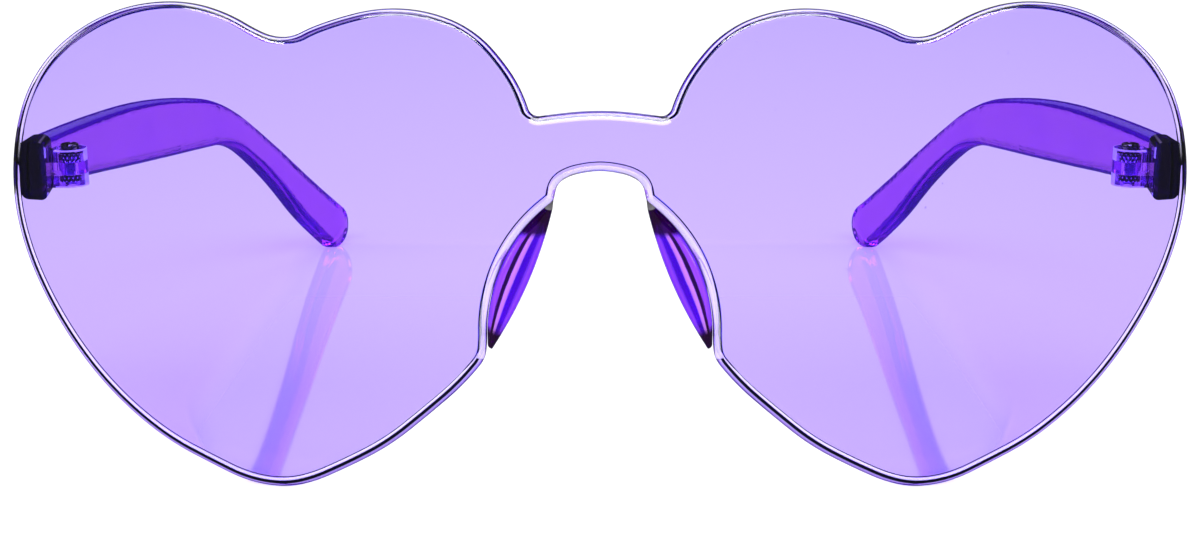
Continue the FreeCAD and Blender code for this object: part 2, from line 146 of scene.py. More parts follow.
# Outline of the front
BRIDGE_DROP = 12.7 * MM
BRIDGE_HEIGHT = 7.4 * MM
BRIDGE_WIDTH = 14.6 * MM
BRIDGE_CROWN = 0.65 * MM
BRIDGE_HEADING = 172
ARCH_WIDTH = 11.2 * MM
ARCH_DROP = 3.2 * MM
SHOULDER_ROUND = 1.3 * MM
NOSE_GAP_WIDTH = 28.3 * MM
# Heart outline on the wearer's left: shares of the half width and of the height, and headings in degrees
HEART_SHARES = [
    (0.322, 0.1345, -40.5), (0.468, 0.0265, -26), (0.552, 0, 0), (0.640, 0.0235, 24.5), (0.770, 0.107, 36),
    (0.970, 0.425, 68.5), (1, 0.605, 90), (0.903, 0.901, 138), (0.694, 1, 180), (0.575, 0.9605, 210),
    (0.515, 0.935, 180), (0.455, 0.960, 159.5), (0.327, 0.9936, 180), (0.1715, 0.915, 229),
    (0.1264, 0.833, 246)]
# Half of the nose arch: shares of its half width and of its drop, and headings
ARCH_SHARES = [(0.52, 0.125, -14), (0.97, 0.75, -76), (1, 1, -81)]
NOTCH_HEADINGS = (-40, -90)
NOTCH_TOE_SHARES = (0.11, 0.20)
NOTCH_TOE_HEADING = -52

# Nose pads
PAD_LEAD = 1 * MM
PAD_FOOT = 21.5 * MM
PAD_TAIL = 1.5 * MM
PAD_TOP_WIDTH = 0.95 * MM
PAD_TAIL_WIDTH = 0.8 * MM
PAD_BOWS = (1 * MM, -0.6 * MM)
PAD_DEPTH = 7.6 * MM
PAD_SETBACK = 0.4 * MM
PAD_ROUNDS = (0.9 * MM, 0.4 * MM)
PAD_MOST_ROUND_SHARE = 0.45
PAD_END_HEADINGS = (190, 218)
PAD_SHARP = 50
GLUE_LINE = 0.05 * MM

# Hinge barrels and their knurled rings
HINGE_ACROSS = 69.0 * MM
HINGE_HEIGHT = 39.65 * MM
HINGE_ALONG = -51.34 * MM
# Across from the middle, beyond which the hinge's moulding is painted nearly black as shade of its block
BLOCK_EDGE = (70.7 * MM, 71.3 * MM)
BARREL_RADIUS = 2.15 * MM
BARREL_HEIGHT = 4.9 * MM
# Pale edges painted on the barrel as highlight: how deep into its wall, how wide, and their blurs
BARREL_SKIN = (0.08 * MM, 0.03 * MM)
BARREL_EDGE = 0.17 * MM
BARREL_EDGE_BLUR = 0.05 * MM
BARREL_REAR_BLUR = 0.3 * MM
WEB_INSETS = (-1.6 * MM, -1.4 * MM)
KNURL_DEPTH = 0.16 * MM
KNURL_TEETH = 16
KNURL_ROWS = 2
BORE_RADIUS = 0.65 * MM

# Finishes
RIPPLE_DEPTH = 0.004 * MM
TURNING_DEPTH = 0.006 * MM
SHEET_FACES = 2
# Matt colours: a pale one painted on as highlight in the rim's pale bands and on the barrels' edges, and the
# deep violet cloud of the mouldings
PAINTED_PALE_HIGHLIGHT = (0.82, 0.79, 0.98, 1)
DEEP_CLOUD = (0.24, 0.0, 0.90, 1)
# Colours of a pad from its nose side to its seat, painted bands of shade and highlight: pale lines, a
# pink-violet streak and a near-black band
PAD_BANDS = [
    (0.00, (0.06, 0.01, 0.30, 1)), (0.035, (0.50, 0.34, 0.75, 1)), (0.06, (0.18, 0.03, 0.75, 1)),
    (0.20, (0.24, 0.05, 0.85, 1)), (0.30, (0.05, 0.00, 0.42, 1)), (0.46, (0.04, 0.00, 0.38, 1)),
    (0.50, (0.45, 0.16, 0.85, 1)), (0.60, (0.55, 0.22, 0.85, 1)), (0.64, (0.01, 0.00, 0.02, 1)),
    (0.74, (0.01, 0.00, 0.02, 1)), (0.79, (0.28, 0.06, 0.85, 1)), (0.95, (0.24, 0.05, 0.80, 1)),
    (1.00, (0.04, 0.01, 0.22, 1))]

# Fineness of the meshes
PATH_STEP = 0.45 * MM
PATH_TURN = math.radians(5)
CAP_STEP = 2.5 * MM
ROUND_STEPS = 18
LAND_STEPS = 6
GROOVE_STEPS = 10
GROOVE_SHARES = np.arange(1, GROOVE_STEPS + 1) / GROOVE_STEPS
PAD_STEPS = 120
RING_STEPS = 264
RING_ROWS = 31
TINY = 1e-9
FAR = 9.0


def directions(headings):
    """Unit vectors at these headings, in radians."""
    return np.stack([np.cos(headings), np.sin(headings)], -1)


def arc_path(start, heading, end):
    """Points on the arc that leaves start at a heading and reaches end, their headings, and the last heading.

    The chord to a point at a share of the arc turns by that share of the bend, and its length is the sine of
    that turn over the sine of the bend."""
    chord = end - start
    bend = (np.arctan2(chord[1], chord[0]) - heading + np.pi) % (2 * np.pi) - np.pi
    length = np.linalg.norm(chord) / np.sinc(bend / np.pi)
    count = math.ceil(max(length / PATH_STEP, 2 * abs(bend) / PATH_TURN))
    share = np.arange(count) / count
    reach = length * share * np.sinc(bend * share / np.pi)
    points = start + reach[:, None] * directions(heading + bend * share)
    return points, heading + 2 * bend * share, heading + 2 * bend


def smooth_path(knots):
    """Points and headings along smooth arcs through a row of knots, two for each pair, without the last knot.

    A pair's arcs meet midway between two points, one reach past the first knot and one before the other."""
    points, headings = [], []
    for first, second in zip(knots, knots[1:]):
        start, end = np.array(first[:2]), np.array(second[:2])
        leave, arrive = directions(np.radians([first[2], second[2]]))
        chord = end - start
        both, spread = leave + arrive, 2 * (1 - leave @ arrive)
        if spread < TINY:
            reach = chord @ chord / (4 * chord @ arrive)
        else:
            reach = (math.sqrt((chord @ both) ** 2 + spread * chord @ chord) - chord @ both) / spread
        meet = (start + end + (leave - arrive) * reach) / 2
        near, near_headings, onward = arc_path(start, math.radians(first[2]), meet)
        far, far_headings, _ = arc_path(meet, onward, end)
        points += [near, far]
        headings += [near_headings, far_headings]
    return np.concatenate(points), np.concatenate(headings)


def notch_knots(height):
    """The nose arch and one notch, from the middle of the arch down to the flank of the heart."""
    arch_top = height - BRIDGE_DROP - BRIDGE_HEIGHT
    half_arch, half_gap = ARCH_WIDTH / 2, NOSE_GAP_WIDTH / 2
    arch = [(half_arch * x, arch_top - ARCH_DROP * z, turn) for x, z, turn in ARCH_SHARES]
    begin, end = np.radians([arch[-1][2], NOTCH_HEADINGS[0]])
    shoulder = np.array([arch[-1][0] + SHOULDER_ROUND * (math.sin(end) - math.sin(begin)),
                         arch[-1][1] + SHOULDER_ROUND * (math.cos(begin) - math.cos(end))])
    lead = shoulder + PAD_LEAD * directions(end)
    out_share, fall_share = NOTCH_TOE_SHARES
    toe = (half_gap + (half_gap - half_arch) * out_share, PAD_FOOT * (1 - fall_share), NOTCH_TOE_HEADING)
    return [(0, arch_top, 0)] + arch + [(*shoulder, NOTCH_HEADINGS[0]), (*lead, NOTCH_HEADINGS[0]),
                                        (half_gap, PAD_FOOT, NOTCH_HEADINGS[1]), toe]


def front_outline(half_width, height):
    """The whole outline of the front, drawn for one side and mirrored for the other."""
    heart = [(half_width * x, height * z, turn) for x, z, turn in HEART_SHARES]
    bridge_top = height - BRIDGE_DROP
    bridge = [(BRIDGE_WIDTH / 2, bridge_top - BRIDGE_CROWN, BRIDGE_HEADING), (0, bridge_top, 180)]
    one_side = notch_knots(height) + heart + bridge
    return smooth_path(one_side + [(-x, z, -turn) for x, z, turn in reversed(one_side[:-1])])


def new_piece(name, vertices, faces, normals, finish, body, *nodes):
    """A smooth closed mesh as a piece that stands for CAD nodes and moves with a body."""
    mesh = bpy.data.meshes.new(name)
    mesh.from_pydata(vertices.tolist(), [], faces)
    mesh.shade_smooth()
    if normals is not None:
        mesh.normals_split_custom_set_from_vertices(normals.tolist())
    mesh.materials.append(finishes[finish])
    piece = bpy.data.objects.new(name, mesh)
    bpy.context.scene.collection.objects.link(piece)
    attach(piece, body)
    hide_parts(*nodes)
    return piece


def mark(piece, name, values):
    """Gives each vertex of a piece a number that its material can read."""
    layer = piece.data.attributes.new(name, "FLOAT", "POINT")
    layer.data.foreach_set("value", values.astype(np.float32))


def tube_faces(rings, around, wrap_rings=False):
    """Quads between the rows of a grid of points that is closed one way, and both ways for wrap_rings."""
    index = np.arange(rings * around).reshape(rings, around)
    ahead = np.roll(index, -1, 0)
    if not wrap_rings:
        index, ahead = index[:-1], ahead[:-1]
    corners = [index, np.roll(index, -1, 1), np.roll(ahead, -1, 1), ahead]
    return np.stack(corners, -1).reshape(-1, 4)


def sheet_cap(loop):
    """Points on a grid inside a closed loop, and triangles that join them to each other and to the loop.

    A point is inside where a line from it to the right crosses the loop an odd number of times."""
    low, high = loop.min(0), loop.max(0)
    rows = [np.arange(low[axis], high[axis], CAP_STEP) for axis in (0, 1)]
    grid = np.stack(np.meshgrid(*rows), -1).reshape(-1, 2)
    step = np.roll(loop, -1, 0) - loop
    spans = (loop[:, 1] > grid[:, 1:]) != (loop[:, 1] + step[:, 1] > grid[:, 1:])
    slope = step[:, 0] / np.where(step[:, 1] == 0, 1, step[:, 1])
    crossing = loop[:, 0] + (grid[:, 1:] - loop[:, 1]) * slope
    inside = (spans & (grid[:, :1] < crossing)).sum(1) % 2 == 1
    clear = np.linalg.norm(grid[:, None] - loop, axis=2).min(1) > CAP_STEP / 2
    grid = grid[inside & clear]
    points = [Vector(point) for point in np.concatenate([loop, grid]) / MM]
    edges = np.stack([np.arange(len(loop)), np.roll(np.arange(len(loop)), -1)], -1)
    _, _, faces, origins, _, _ = delaunay_2d_cdt(points, edges.tolist(), [], 1, TINY)
    first = np.array([origin[0] for origin in origins])
    return grid, first[np.array(faces)]


def rim_rows():
    """Rows of the front's rim: their insets from the outline, their depths and their shares of the land.

    They run over the land and a quarter round to the wall, then over another round to a groove in the back,
    which is one wave of a cosine. A depth counts from the face that the row belongs to."""
    turn = np.linspace(0, np.pi / 2, ROUND_STEPS)
    inset = np.concatenate([np.full(LAND_STEPS, RIM_ROUND), RIM_ROUND * (1 - np.sin(turn)),
                            HEEL_ROUND * (1 - np.cos(turn)), HEEL_ROUND + GROOVE_WIDTH * GROOVE_SHARES])
    depth = np.concatenate([np.zeros(LAND_STEPS), RIM_ROUND * (1 - np.cos(turn)),
                            HEEL_ROUND * (1 - np.sin(turn)),
                            GROOVE_DEPTH * (1 - np.cos(2 * np.pi * GROOVE_SHARES)) / 2])
    land = np.linspace(1, 0, LAND_STEPS, endpoint=False)
    return inset, depth, np.concatenate([land, np.zeros(len(inset) - LAND_STEPS)])


def rim_bands(outline, inward, inset, behind, free):
    """Places across the rim's painted dark line of shade, which reaches from -1 to 1, and shares of the pale
    colour painted on as highlight.

    The bands' insets and shares lie between those given for the top, the sides and the foot, by how steeply
    the way inwards rises. Beside the hinges' blocks the pale bands fade, as painted shade of the dark blocks
    seen through the rim, and at the nose there is one. The groove behind has a painted dark line of its own."""

    def around_rim(values):
        return np.interp(inward[:, 1:], (-1, 0, 1), values)

    def band(low, high, share):
        return share * np.clip((inset - low) / PALE_BLUR, 0, 1) * np.clip((high - inset) / PALE_BLUR, 0, 1)

    def beside_block(rise):
        low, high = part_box("left_end_piece")
        reach = np.minimum(outline[:, 1:] - low.z, high.z + rise - outline[:, 1:])
        return np.clip(reach / SHADE_BLUR, 0, 1) * (np.abs(outline[:, :1]) > HINGE_ACROSS)

    line = (inset - around_rim(RIM_LINE_INSETS)) / around_rim(RIM_LINE_HALVES)
    line = np.where((free < 0) | behind, FAR, line)
    line[:, -GROOVE_STEPS:] = (4 * GROOVE_SHARES - 2) * around_rim(GROOVE_LINE_FINENESS)
    pale = np.zeros_like(inset)
    for limits, rise in ((OUTER_PALE, SHADE_RISE), (INNER_PALE, 0)):
        here = {name: around_rim(values) for name, values in limits.items()}
        pale += band(**here) * (1 - beside_block(rise))
    pale = np.where(free < 0, band(**NOSE_PALE), pale) * ~behind
    pale[:, 0] = 0
    return line, pale


def front_lens():
    """A sheet between two upright cylinders with one axis, cut to the outline.

    The rows of its rim are swept along the outline, and a cap on either cylinder closes them."""
    low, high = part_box("front_lens")
    outline, headings = front_outline((high.x - low.x) / 2, high.z - low.z)
    inward = directions(headings + np.pi / 2)
    back_radius = LENS_RADIUS - LENS_THICKNESS

    def depth_of(across, radius):
        return low.y + LENS_RADIUS - np.sqrt(radius ** 2 - across ** 2)

    def facing(across, radius):
        return np.stack([across / radius, -np.sqrt(1 - (across / radius) ** 2), np.zeros_like(across)], -1)

    inset, depth, land = rim_rows()
    behind = np.arange(len(inset)) >= LAND_STEPS + ROUND_STEPS
    free = np.abs(outline[:, :1]) - np.where(outline[:, 1:] > BRIDGE_FOOT, BRIDGE_HALF, NOSE_HALF)
    inset = inset + RIM_LAND * np.clip(free / LAND_GROWTH, LAND_LEAST_SHARE, 1) * land
    flat = outline[:, None] + inset[..., None] * inward[:, None]
    near, far = [depth_of(flat[..., 0], radius) for radius in (LENS_RADIUS, back_radius)]
    rim = np.stack([flat[..., 0], np.where(behind, far - depth, near + depth), flat[..., 1]], -1)
    normals = np.cross(np.gradient(rim, axis=1), np.roll(rim, -1, 0) - np.roll(rim, 1, 0))
    normals /= np.linalg.norm(normals, axis=2, keepdims=True)
    normals[:, :LAND_STEPS + 1] = facing(rim[:, :LAND_STEPS + 1, 0], LENS_RADIUS)
    normals[:, -1] = -facing(rim[:, -1, 0], back_radius)

    around, rows = flat.shape[:2]
    index = np.arange(around * rows).reshape(around, rows)
    ahead = np.roll(index, -1, 0)
    quads = np.stack([index[:, :-1], index[:, 1:], ahead[:, 1:], ahead[:, :-1]], -1).reshape(-1, 4)
    vertices, faces, shading = [rim.reshape(-1, 3)], quads.tolist(), [normals.reshape(-1, 3)]
    total = around * rows
    for row, radius, side in ((0, LENS_RADIUS, 1), (rows - 1, back_radius, -1)):
        grid, triangles = sheet_cap(flat[:, row])
        numbers = np.concatenate([index[:, row], total + np.arange(len(grid))])
        faces += numbers[triangles[:, ::side]].tolist()
        vertices.append(np.stack([grid[:, 0], depth_of(grid[:, 0], radius), grid[:, 1]], -1))
        shading.append(side * facing(grid[:, 0], radius))
        total += len(grid)
    piece = new_piece("heart_front", np.concatenate(vertices), faces, np.concatenate(shading),
                      "tinted_lens", "front", "front_lens")

    # The rim's painted dark line of shade and its pale bands of painted highlight, as numbers on its vertices
    line, pale = rim_bands(outline, inward, inset, behind, free)
    for name, values, rest in (("rim_line", line, FAR), ("rim_pale", pale, 0)):
        mark(piece, name, np.concatenate([values.reshape(-1), np.full(total - values.size, rest)]))
    return piece


def resampled(path, count):
    """As many points, spread evenly along a path."""
    reach = np.concatenate([[0], np.cumsum(np.linalg.norm(np.diff(path, axis=0), axis=1))])
    share = np.linspace(0, reach[-1], count)
    return np.stack([np.interp(share, reach, path[:, axis]) for axis in (0, 1)], -1)


def bowed_path(start, end, bow):
    """The arc from start to end whose middle stands out to the left of the chord by bow."""
    chord = end - start
    heading = np.arctan2(chord[1], chord[0]) + 2 * np.arctan2(2 * bow, np.linalg.norm(chord))
    return np.concatenate([arc_path(start, heading, end)[0], [end]])


def nose_pad(side):
    """A wedge of rounded four-sided sections, each from the nose side to the seat in the notch.

    Across a section the place is a blend of the two sides, and the nose side itself blends from the front's
    bow to the back's with depth. Flat ends close the wedge."""
    low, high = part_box("front_lens")
    lead, foot = notch_knots(high.z - low.z)[-3:-1]
    seat_knots = []
    for x, z, turn in (lead, foot):
        gap = GLUE_LINE * directions(math.radians(turn - 90))
        seat_knots.append((x + gap[0], z + gap[1], turn))
    heel = np.array(seat_knots[1][:2]) - (0, PAD_TAIL)
    seat = np.concatenate([smooth_path(seat_knots)[0], [seat_knots[1][:2], heel]])[::-1]
    brow = seat[-1] + PAD_TOP_WIDTH * directions(math.radians(PAD_END_HEADINGS[0]))
    tail = heel + PAD_TAIL_WIDTH * directions(math.radians(PAD_END_HEADINGS[1]))
    seat = resampled(seat, PAD_STEPS)
    noses = [resampled(bowed_path(tail, brow, bow), PAD_STEPS) for bow in PAD_BOWS]

    width = np.linalg.norm(seat - noses[0], axis=1)[:, None]
    turn = np.linspace(0, np.pi / 2, ROUND_STEPS)
    across, deep = [], []
    for corner, (seatward, rearward) in enumerate([(0, 0), (1, 0), (1, 1), (0, 1)]):
        share_across = np.minimum(PAD_ROUNDS[rearward] / width, PAD_MOST_ROUND_SHARE)
        share_deep = PAD_ROUNDS[rearward] / PAD_DEPTH
        angle = turn + np.pi + corner * np.pi / 2
        across.append(seatward + share_across * (1 - 2 * seatward + np.cos(angle)))
        sunk = rearward + share_deep * (1 - 2 * rearward + np.sin(angle))
        deep.append(np.broadcast_to(sunk, across[-1].shape))
    across, deep = np.concatenate(across, 1), np.concatenate(deep, 1)
    nose = noses[0][:, None] * (1 - deep[..., None]) + noses[1][:, None] * deep[..., None]
    flat = nose * (1 - across[..., None]) + seat[:, None] * across[..., None]
    front = low.y + PAD_SETBACK
    points = np.stack([side * flat[..., 0], front + PAD_DEPTH * deep, flat[..., 1]], -1)

    rings, around = points.shape[:2]
    faces = tube_faces(rings, around)[:, ::side].tolist()
    ends = [list(range(around)), list(range((rings - 1) * around, rings * around))[::-1]]
    faces += [end[::side] for end in ends]
    word = "left" if side > 0 else "right"
    piece = new_piece(word + "_pad", points.reshape(-1, 3), faces, None,
                      "tinted_pad", "front", word + "_nose_pad")
    piece.data.set_sharp_from_angle(angle=math.radians(PAD_SHARP))
    along = np.broadcast_to(np.linspace(0, 1, rings)[:, None], across.shape)
    mark(piece, "pad_along", along.reshape(-1))
    mark(piece, "pad_across", across.reshape(-1))
    return piece


def knurled_ring(node):
    """A ring with a diamond knurl: two families of V grooves that wind up its outside in opposite ways.

    The radius falls below the crest by the deeper of two triangle waves of the turn, plus and minus the
    height."""
    low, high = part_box(node)
    crest, height = (high.x - low.x) / 2, high.z - low.z
    turn = np.linspace(0, 1, RING_STEPS, endpoint=False)[:, None]
    rise = np.linspace(0, 1, RING_ROWS)
    waves = [KNURL_TEETH * turn + way * KNURL_ROWS * rise for way in (0.5, -0.5)]
    groove = np.maximum(*[np.abs(2 * (wave % 1) - 1) for wave in waves])
    bore = np.full((RING_STEPS, 2), BORE_RADIUS)
    radius = np.concatenate([crest - KNURL_DEPTH * groove, bore], 1)
    level = low.z + height * np.concatenate([rise, [1, 0]])
    ways = directions(2 * np.pi * turn)
    centre = (low + high) / 2
    points = np.stack([centre.x + radius * ways[..., 0], centre.y + radius * ways[..., 1],
                       np.broadcast_to(level, radius.shape)], -1)
    faces = tube_faces(*radius.shape, wrap_rings=True)[:, ::-1].tolist()
    piece = new_piece(node.replace("hinge_", ""), points.reshape(-1, 3), faces, None,
                      "hinge_metal", "front", node)
    piece.data.shade_flat()
    mark(piece, "crest", np.concatenate([1 - groove, np.zeros_like(bore)], 1).reshape(-1))
    return piece


class Value:
    """A number that changes over a surface. Sums and products of values add Math nodes."""

    def __init__(self, tree, socket):
        self.tree = tree
        self.socket = socket

    def math(self, operation, first, second=0.0):
        """One Math node."""
        return self.tree.value("ShaderNodeMath", {"operation": operation}, {0: first, 1: second})

    def smooth(self, low, high):
        """0 up to low and 1 from high on, with an easy slope between. A low above high turns it round."""
        return self.tree.value("ShaderNodeMapRange", {"interpolation_type": "SMOOTHSTEP"},
                               {"Value": self, "From Min": low, "From Max": high})

    def larger(self, other):
        """The larger of two numbers."""
        return self.math("MAXIMUM", self, other)

    def __abs__(self):
        return self.math("ABSOLUTE", self)

    def __add__(self, other):
        return self.math("ADD", self, other)

    def __sub__(self, other):
        return self.math("SUBTRACT", self, other)

    def __rsub__(self, other):
        return self.math("SUBTRACT", other, self)

    def __mul__(self, other):
        return self.math("MULTIPLY", self, other)

    __radd__ = __add__
    __rmul__ = __mul__


class Tree:
    """A node tree that is written as expressions."""

    def __init__(self, owner):
        owner.use_nodes = True
        self.nodes = owner.node_tree.nodes
        self.links = owner.node_tree.links
        self.nodes.clear()

    def node(self, kind, settings=None, inputs=None):
        """Adds a node, sets its settings first and then fills its sockets with numbers, colours or links."""
        made = self.nodes.new(kind)
        for name, setting in (settings or {}).items():
            if name == "stops":
                for place, (position, colour) in enumerate(setting):
                    while len(made.color_ramp.elements) <= place:
                        made.color_ramp.elements.new(position)
                    made.color_ramp.elements[place].position = position
                    made.color_ramp.elements[place].color = colour
            else:
                setattr(made, name, setting)
        for name, given in (inputs or {}).items():
            source = given.socket if isinstance(given, Value) else given
            if isinstance(source, bpy.types.NodeSocket):
                self.links.new(source, made.inputs[name])
            else:
                made.inputs[name].default_value = source
        return made

    def value(self, kind, settings=None, inputs=None, output=0):
        """The same, as one of the node's outputs."""
        return Value(self, self.node(kind, settings, inputs).outputs[output])

    def mix(self, share, first, second):
        """A colour between two others."""
        return self.value("ShaderNodeMix", {"data_type": "RGBA"}, {0: share, 6: first, 7: second}, 2)

    def blend(self, share, first, second):
        """A shader between two others."""
        return self.value("ShaderNodeMixShader", None, {0: share, 1: first, 2: second})

    def place(self):
        """The place on the piece, in its own frame."""
        return self.value("ShaderNodeTexCoord", output="Object")

    def axes(self, vector):
        """The three numbers of a vector."""
        parts = self.node("ShaderNodeSeparateXYZ", None, {0: vector})
        return [Value(self, parts.outputs[axis]) for axis in "XYZ"]

    def own(self, name):
        """A number that the vertices carry."""
        return self.value("ShaderNodeAttribute", {"attribute_name": name}, output="Fac")

    def noise(self, scale, detail=3.0, stretch=(1, 1, 1)):
        """Cloudy noise from 0 to 1 with this many clouds per metre, drawn out by a stretch per axis."""
        drawn = self.value("ShaderNodeVectorMath", {"operation": "MULTIPLY"}, {0: self.place(), 1: stretch})
        return self.value("ShaderNodeTexNoise", None, {"Vector": drawn, "Scale": scale, "Detail": detail})

    def specks(self, scale, radius):
        """Small round specks, one here and there, as 1 on 0."""
        cell = self.node("ShaderNodeTexVoronoi", None, {"Vector": self.place(), "Scale": scale})
        parts = self.node("ShaderNodeSeparateColor", None, {0: cell.outputs["Color"]})
        rare = Value(self, parts.outputs[0]).smooth(0.86, 0.88)
        return Value(self, cell.outputs["Distance"]).smooth(radius, radius / 2) * rare

    def ripple(self, height, depth):
        """The normal of a surface whose height changes by this depth."""
        return self.value("ShaderNodeBump", None, {"Height": height, "Strength": 1.0, "Distance": depth})


def ray_kind(tree, word):
    """1 for rays of this kind, and 0 for others."""
    return tree.value("ShaderNodeLightPath", output="Is %s Ray" % word)


def mirrored_rays(tree):
    """1 for rays that a smooth surface threw back, and 0 for those that went through one and for others."""
    return ray_kind(tree, "Glossy") * (1 - ray_kind(tree, "Transmission"))


def straight_rays(tree):
    """1 for rays that have met no more than the two faces of one clear sheet, and 0 for others."""
    depth = tree.value("ShaderNodeLightPath", output="Ray Depth")
    return depth.smooth(SHEET_FACES + 0.6, SHEET_FACES + 0.4)


def clear_plastic(name, absorbed, density, paint, cloud, clear=1.0):
    """Polished clear plastic, tinted by its depth: absorbed is how much of each colour goes.

    paint gives the colour of the surface itself, painted shade and highlight included, which dust then dulls,
    and its share of the matt colour: a cloud in the arms, and a painted pale highlight on the rim and the
    barrels' edges."""
    material = bpy.data.materials.new(name)
    tree = Tree(material)
    haze = tree.noise(70.0, 5.0).smooth(0.35, 0.75)
    hairs = tree.noise(240.0, 2.0, (1, 1, 14)).smooth(0.70, 0.80)
    dust = tree.specks(420.0, 0.09)
    # The matt share is a cloud in the arms, and a painted pale highlight on the lens's rim and the barrels'
    # edges
    colour, matt_share = paint(tree)
    polished = tree.value("ShaderNodeBsdfPrincipled", None, {
        "Base Color": tree.mix(dust * 0.35, colour, (0.55, 0.45, 0.65, 1)),
        "Roughness": 0.006 + haze * 0.012 + hairs * 0.02 + dust * 0.2,
        "Normal": tree.ripple(tree.noise(130.0, 2.0), RIPPLE_DEPTH),
        "IOR": 1.5,
        "Transmission Weight": clear,
    })
    matt = tree.value("ShaderNodeBsdfDiffuse", None, {"Color": cloud})
    passing = tree.value("ShaderNodeBsdfTransparent")
    surface = tree.blend(ray_kind(tree, "Shadow"), tree.blend(matt_share, polished, matt), passing)
    tint = tuple(1 - loss for loss in absorbed) + (1,)
    inside = tree.value("ShaderNodeVolumeAbsorption", None, {"Color": tint, "Density": density})
    tree.node("ShaderNodeOutputMaterial", None, {"Surface": surface, "Volume": inside})
    return material


def lens_paint(tree):
    """Clear, with painted shade and highlight along the polished edge: a black line between pale ones, and
    violet outside the line, darkest at the outline.
    """
    place = tree.own("rim_line")
    # Painted shade: the black line and the violet outside it stand for light that the rounded edge bends away
    line = abs(place).smooth(1.20, 0.95)
    outer = tree.mix(place.smooth(-2.4, -3.4), (0.45, 0.28, 0.88, 1), (0.10, 0.03, 0.48, 1))
    edge = tree.mix(place.smooth(-0.9, -1.3), WHITE, outer)
    return tree.mix(line, edge, (0, 0, 0.0002, 1)), tree.own("rim_pale")


def barrel_edges(tree):
    """1 on the wall of a hinge's barrel along both ends and along its inner side, and 0 elsewhere: where pale
    highlight is painted.
    """
    across, along, height = tree.axes(tree.place())
    inner = HINGE_ACROSS - abs(across)
    behind = along - HINGE_ALONG
    wall = (inner * inner + behind * behind).smooth(*[(BARREL_RADIUS - skin) ** 2 for skin in BARREL_SKIN])
    side, end = BARREL_RADIUS - BARREL_EDGE, BARREL_HEIGHT / 2 - BARREL_EDGE
    ends = abs(height - HINGE_HEIGHT).smooth(end - BARREL_EDGE_BLUR, end) * inner.smooth(*WEB_INSETS)
    sides = inner.smooth(side - BARREL_EDGE_BLUR, side)
    near = behind.smooth(BARREL_RADIUS + BARREL_REAR_BLUR, BARREL_RADIUS)
    return near * wall * sides.larger(ends)


def arm_paint(tree):
    """Clear, with a little matt cloud, as mouldings have."""
    cloud = tree.noise(90.0, 3.0).smooth(0.4, 0.8)
    return tree.mix(cloud * 0.3, (0.90, 0.62, 1, 1), (0.80, 0.52, 0.97, 1)), 0.08 + cloud * 0.03


def hinge_paint(tree):
    """Clear at the knuckles, with pale edges painted on as highlight, and nearly black in the block behind
    the front's edge as painted shade.
    """
    across, _, _ = tree.axes(tree.place())
    # Painted shade: the block behind the front's edge is painted nearly black
    block = abs(across).smooth(*BLOCK_EDGE)
    return tree.mix(block, (0.56, 0.32, 0.94, 1), (0.004, 0.0, 0.014, 1)), barrel_edges(tree) * 0.7


def pad_paint(tree):
    """Bands of violet along the pad from its nose side to its seat, painted shade and highlight for light
    bent inside it, and painted nearly black at both ends as shade.
    """
    along, across = tree.own("pad_along"), tree.own("pad_across")
    waved = across + (tree.noise(260.0, 2.0) - 0.5) * 0.06
    bands = tree.value("ShaderNodeValToRGB", {"stops": PAD_BANDS}, {0: waved})
    ends = (along + across * 0.06).smooth(0.80, 0.86) + along.smooth(0.15, 0.09)
    return tree.mix(ends, bands, (0.012, 0.0, 0.02, 1)), 0.0


def plated_metal(name):
    """Dark plating with fine turning marks, dull spots and a little wear, painted near white on the crests of
    a knurl: worn plating and a painted glint.
    """
    material = bpy.data.materials.new(name)
    tree = Tree(material)
    worn = tree.noise(1900.0, 4.0).smooth(0.58, 0.72)
    marks = tree.noise(900.0, 3.0, (1, 1, 9))
    # Crests painted near white and rough, partly as worn plating and partly as painted glints
    crest = tree.own("crest").smooth(0.58, 0.74)
    plating = tree.mix(worn * 0.6, (0.12, 0.11, 0.15, 1), (0.22, 0.18, 0.15, 1))
    metal = tree.value("ShaderNodeBsdfPrincipled", None, {
        "Base Color": tree.mix(crest, plating, (0.97, 0.96, 1, 1)),
        "Roughness": 0.08 + worn * 0.2 + marks * 0.06 + crest * 0.42,
        "Normal": tree.ripple(marks, TURNING_DEPTH),
        "Metallic": 1.0,
    })
    tree.node("ShaderNodeOutputMaterial", None, {"Surface": metal})
    return material


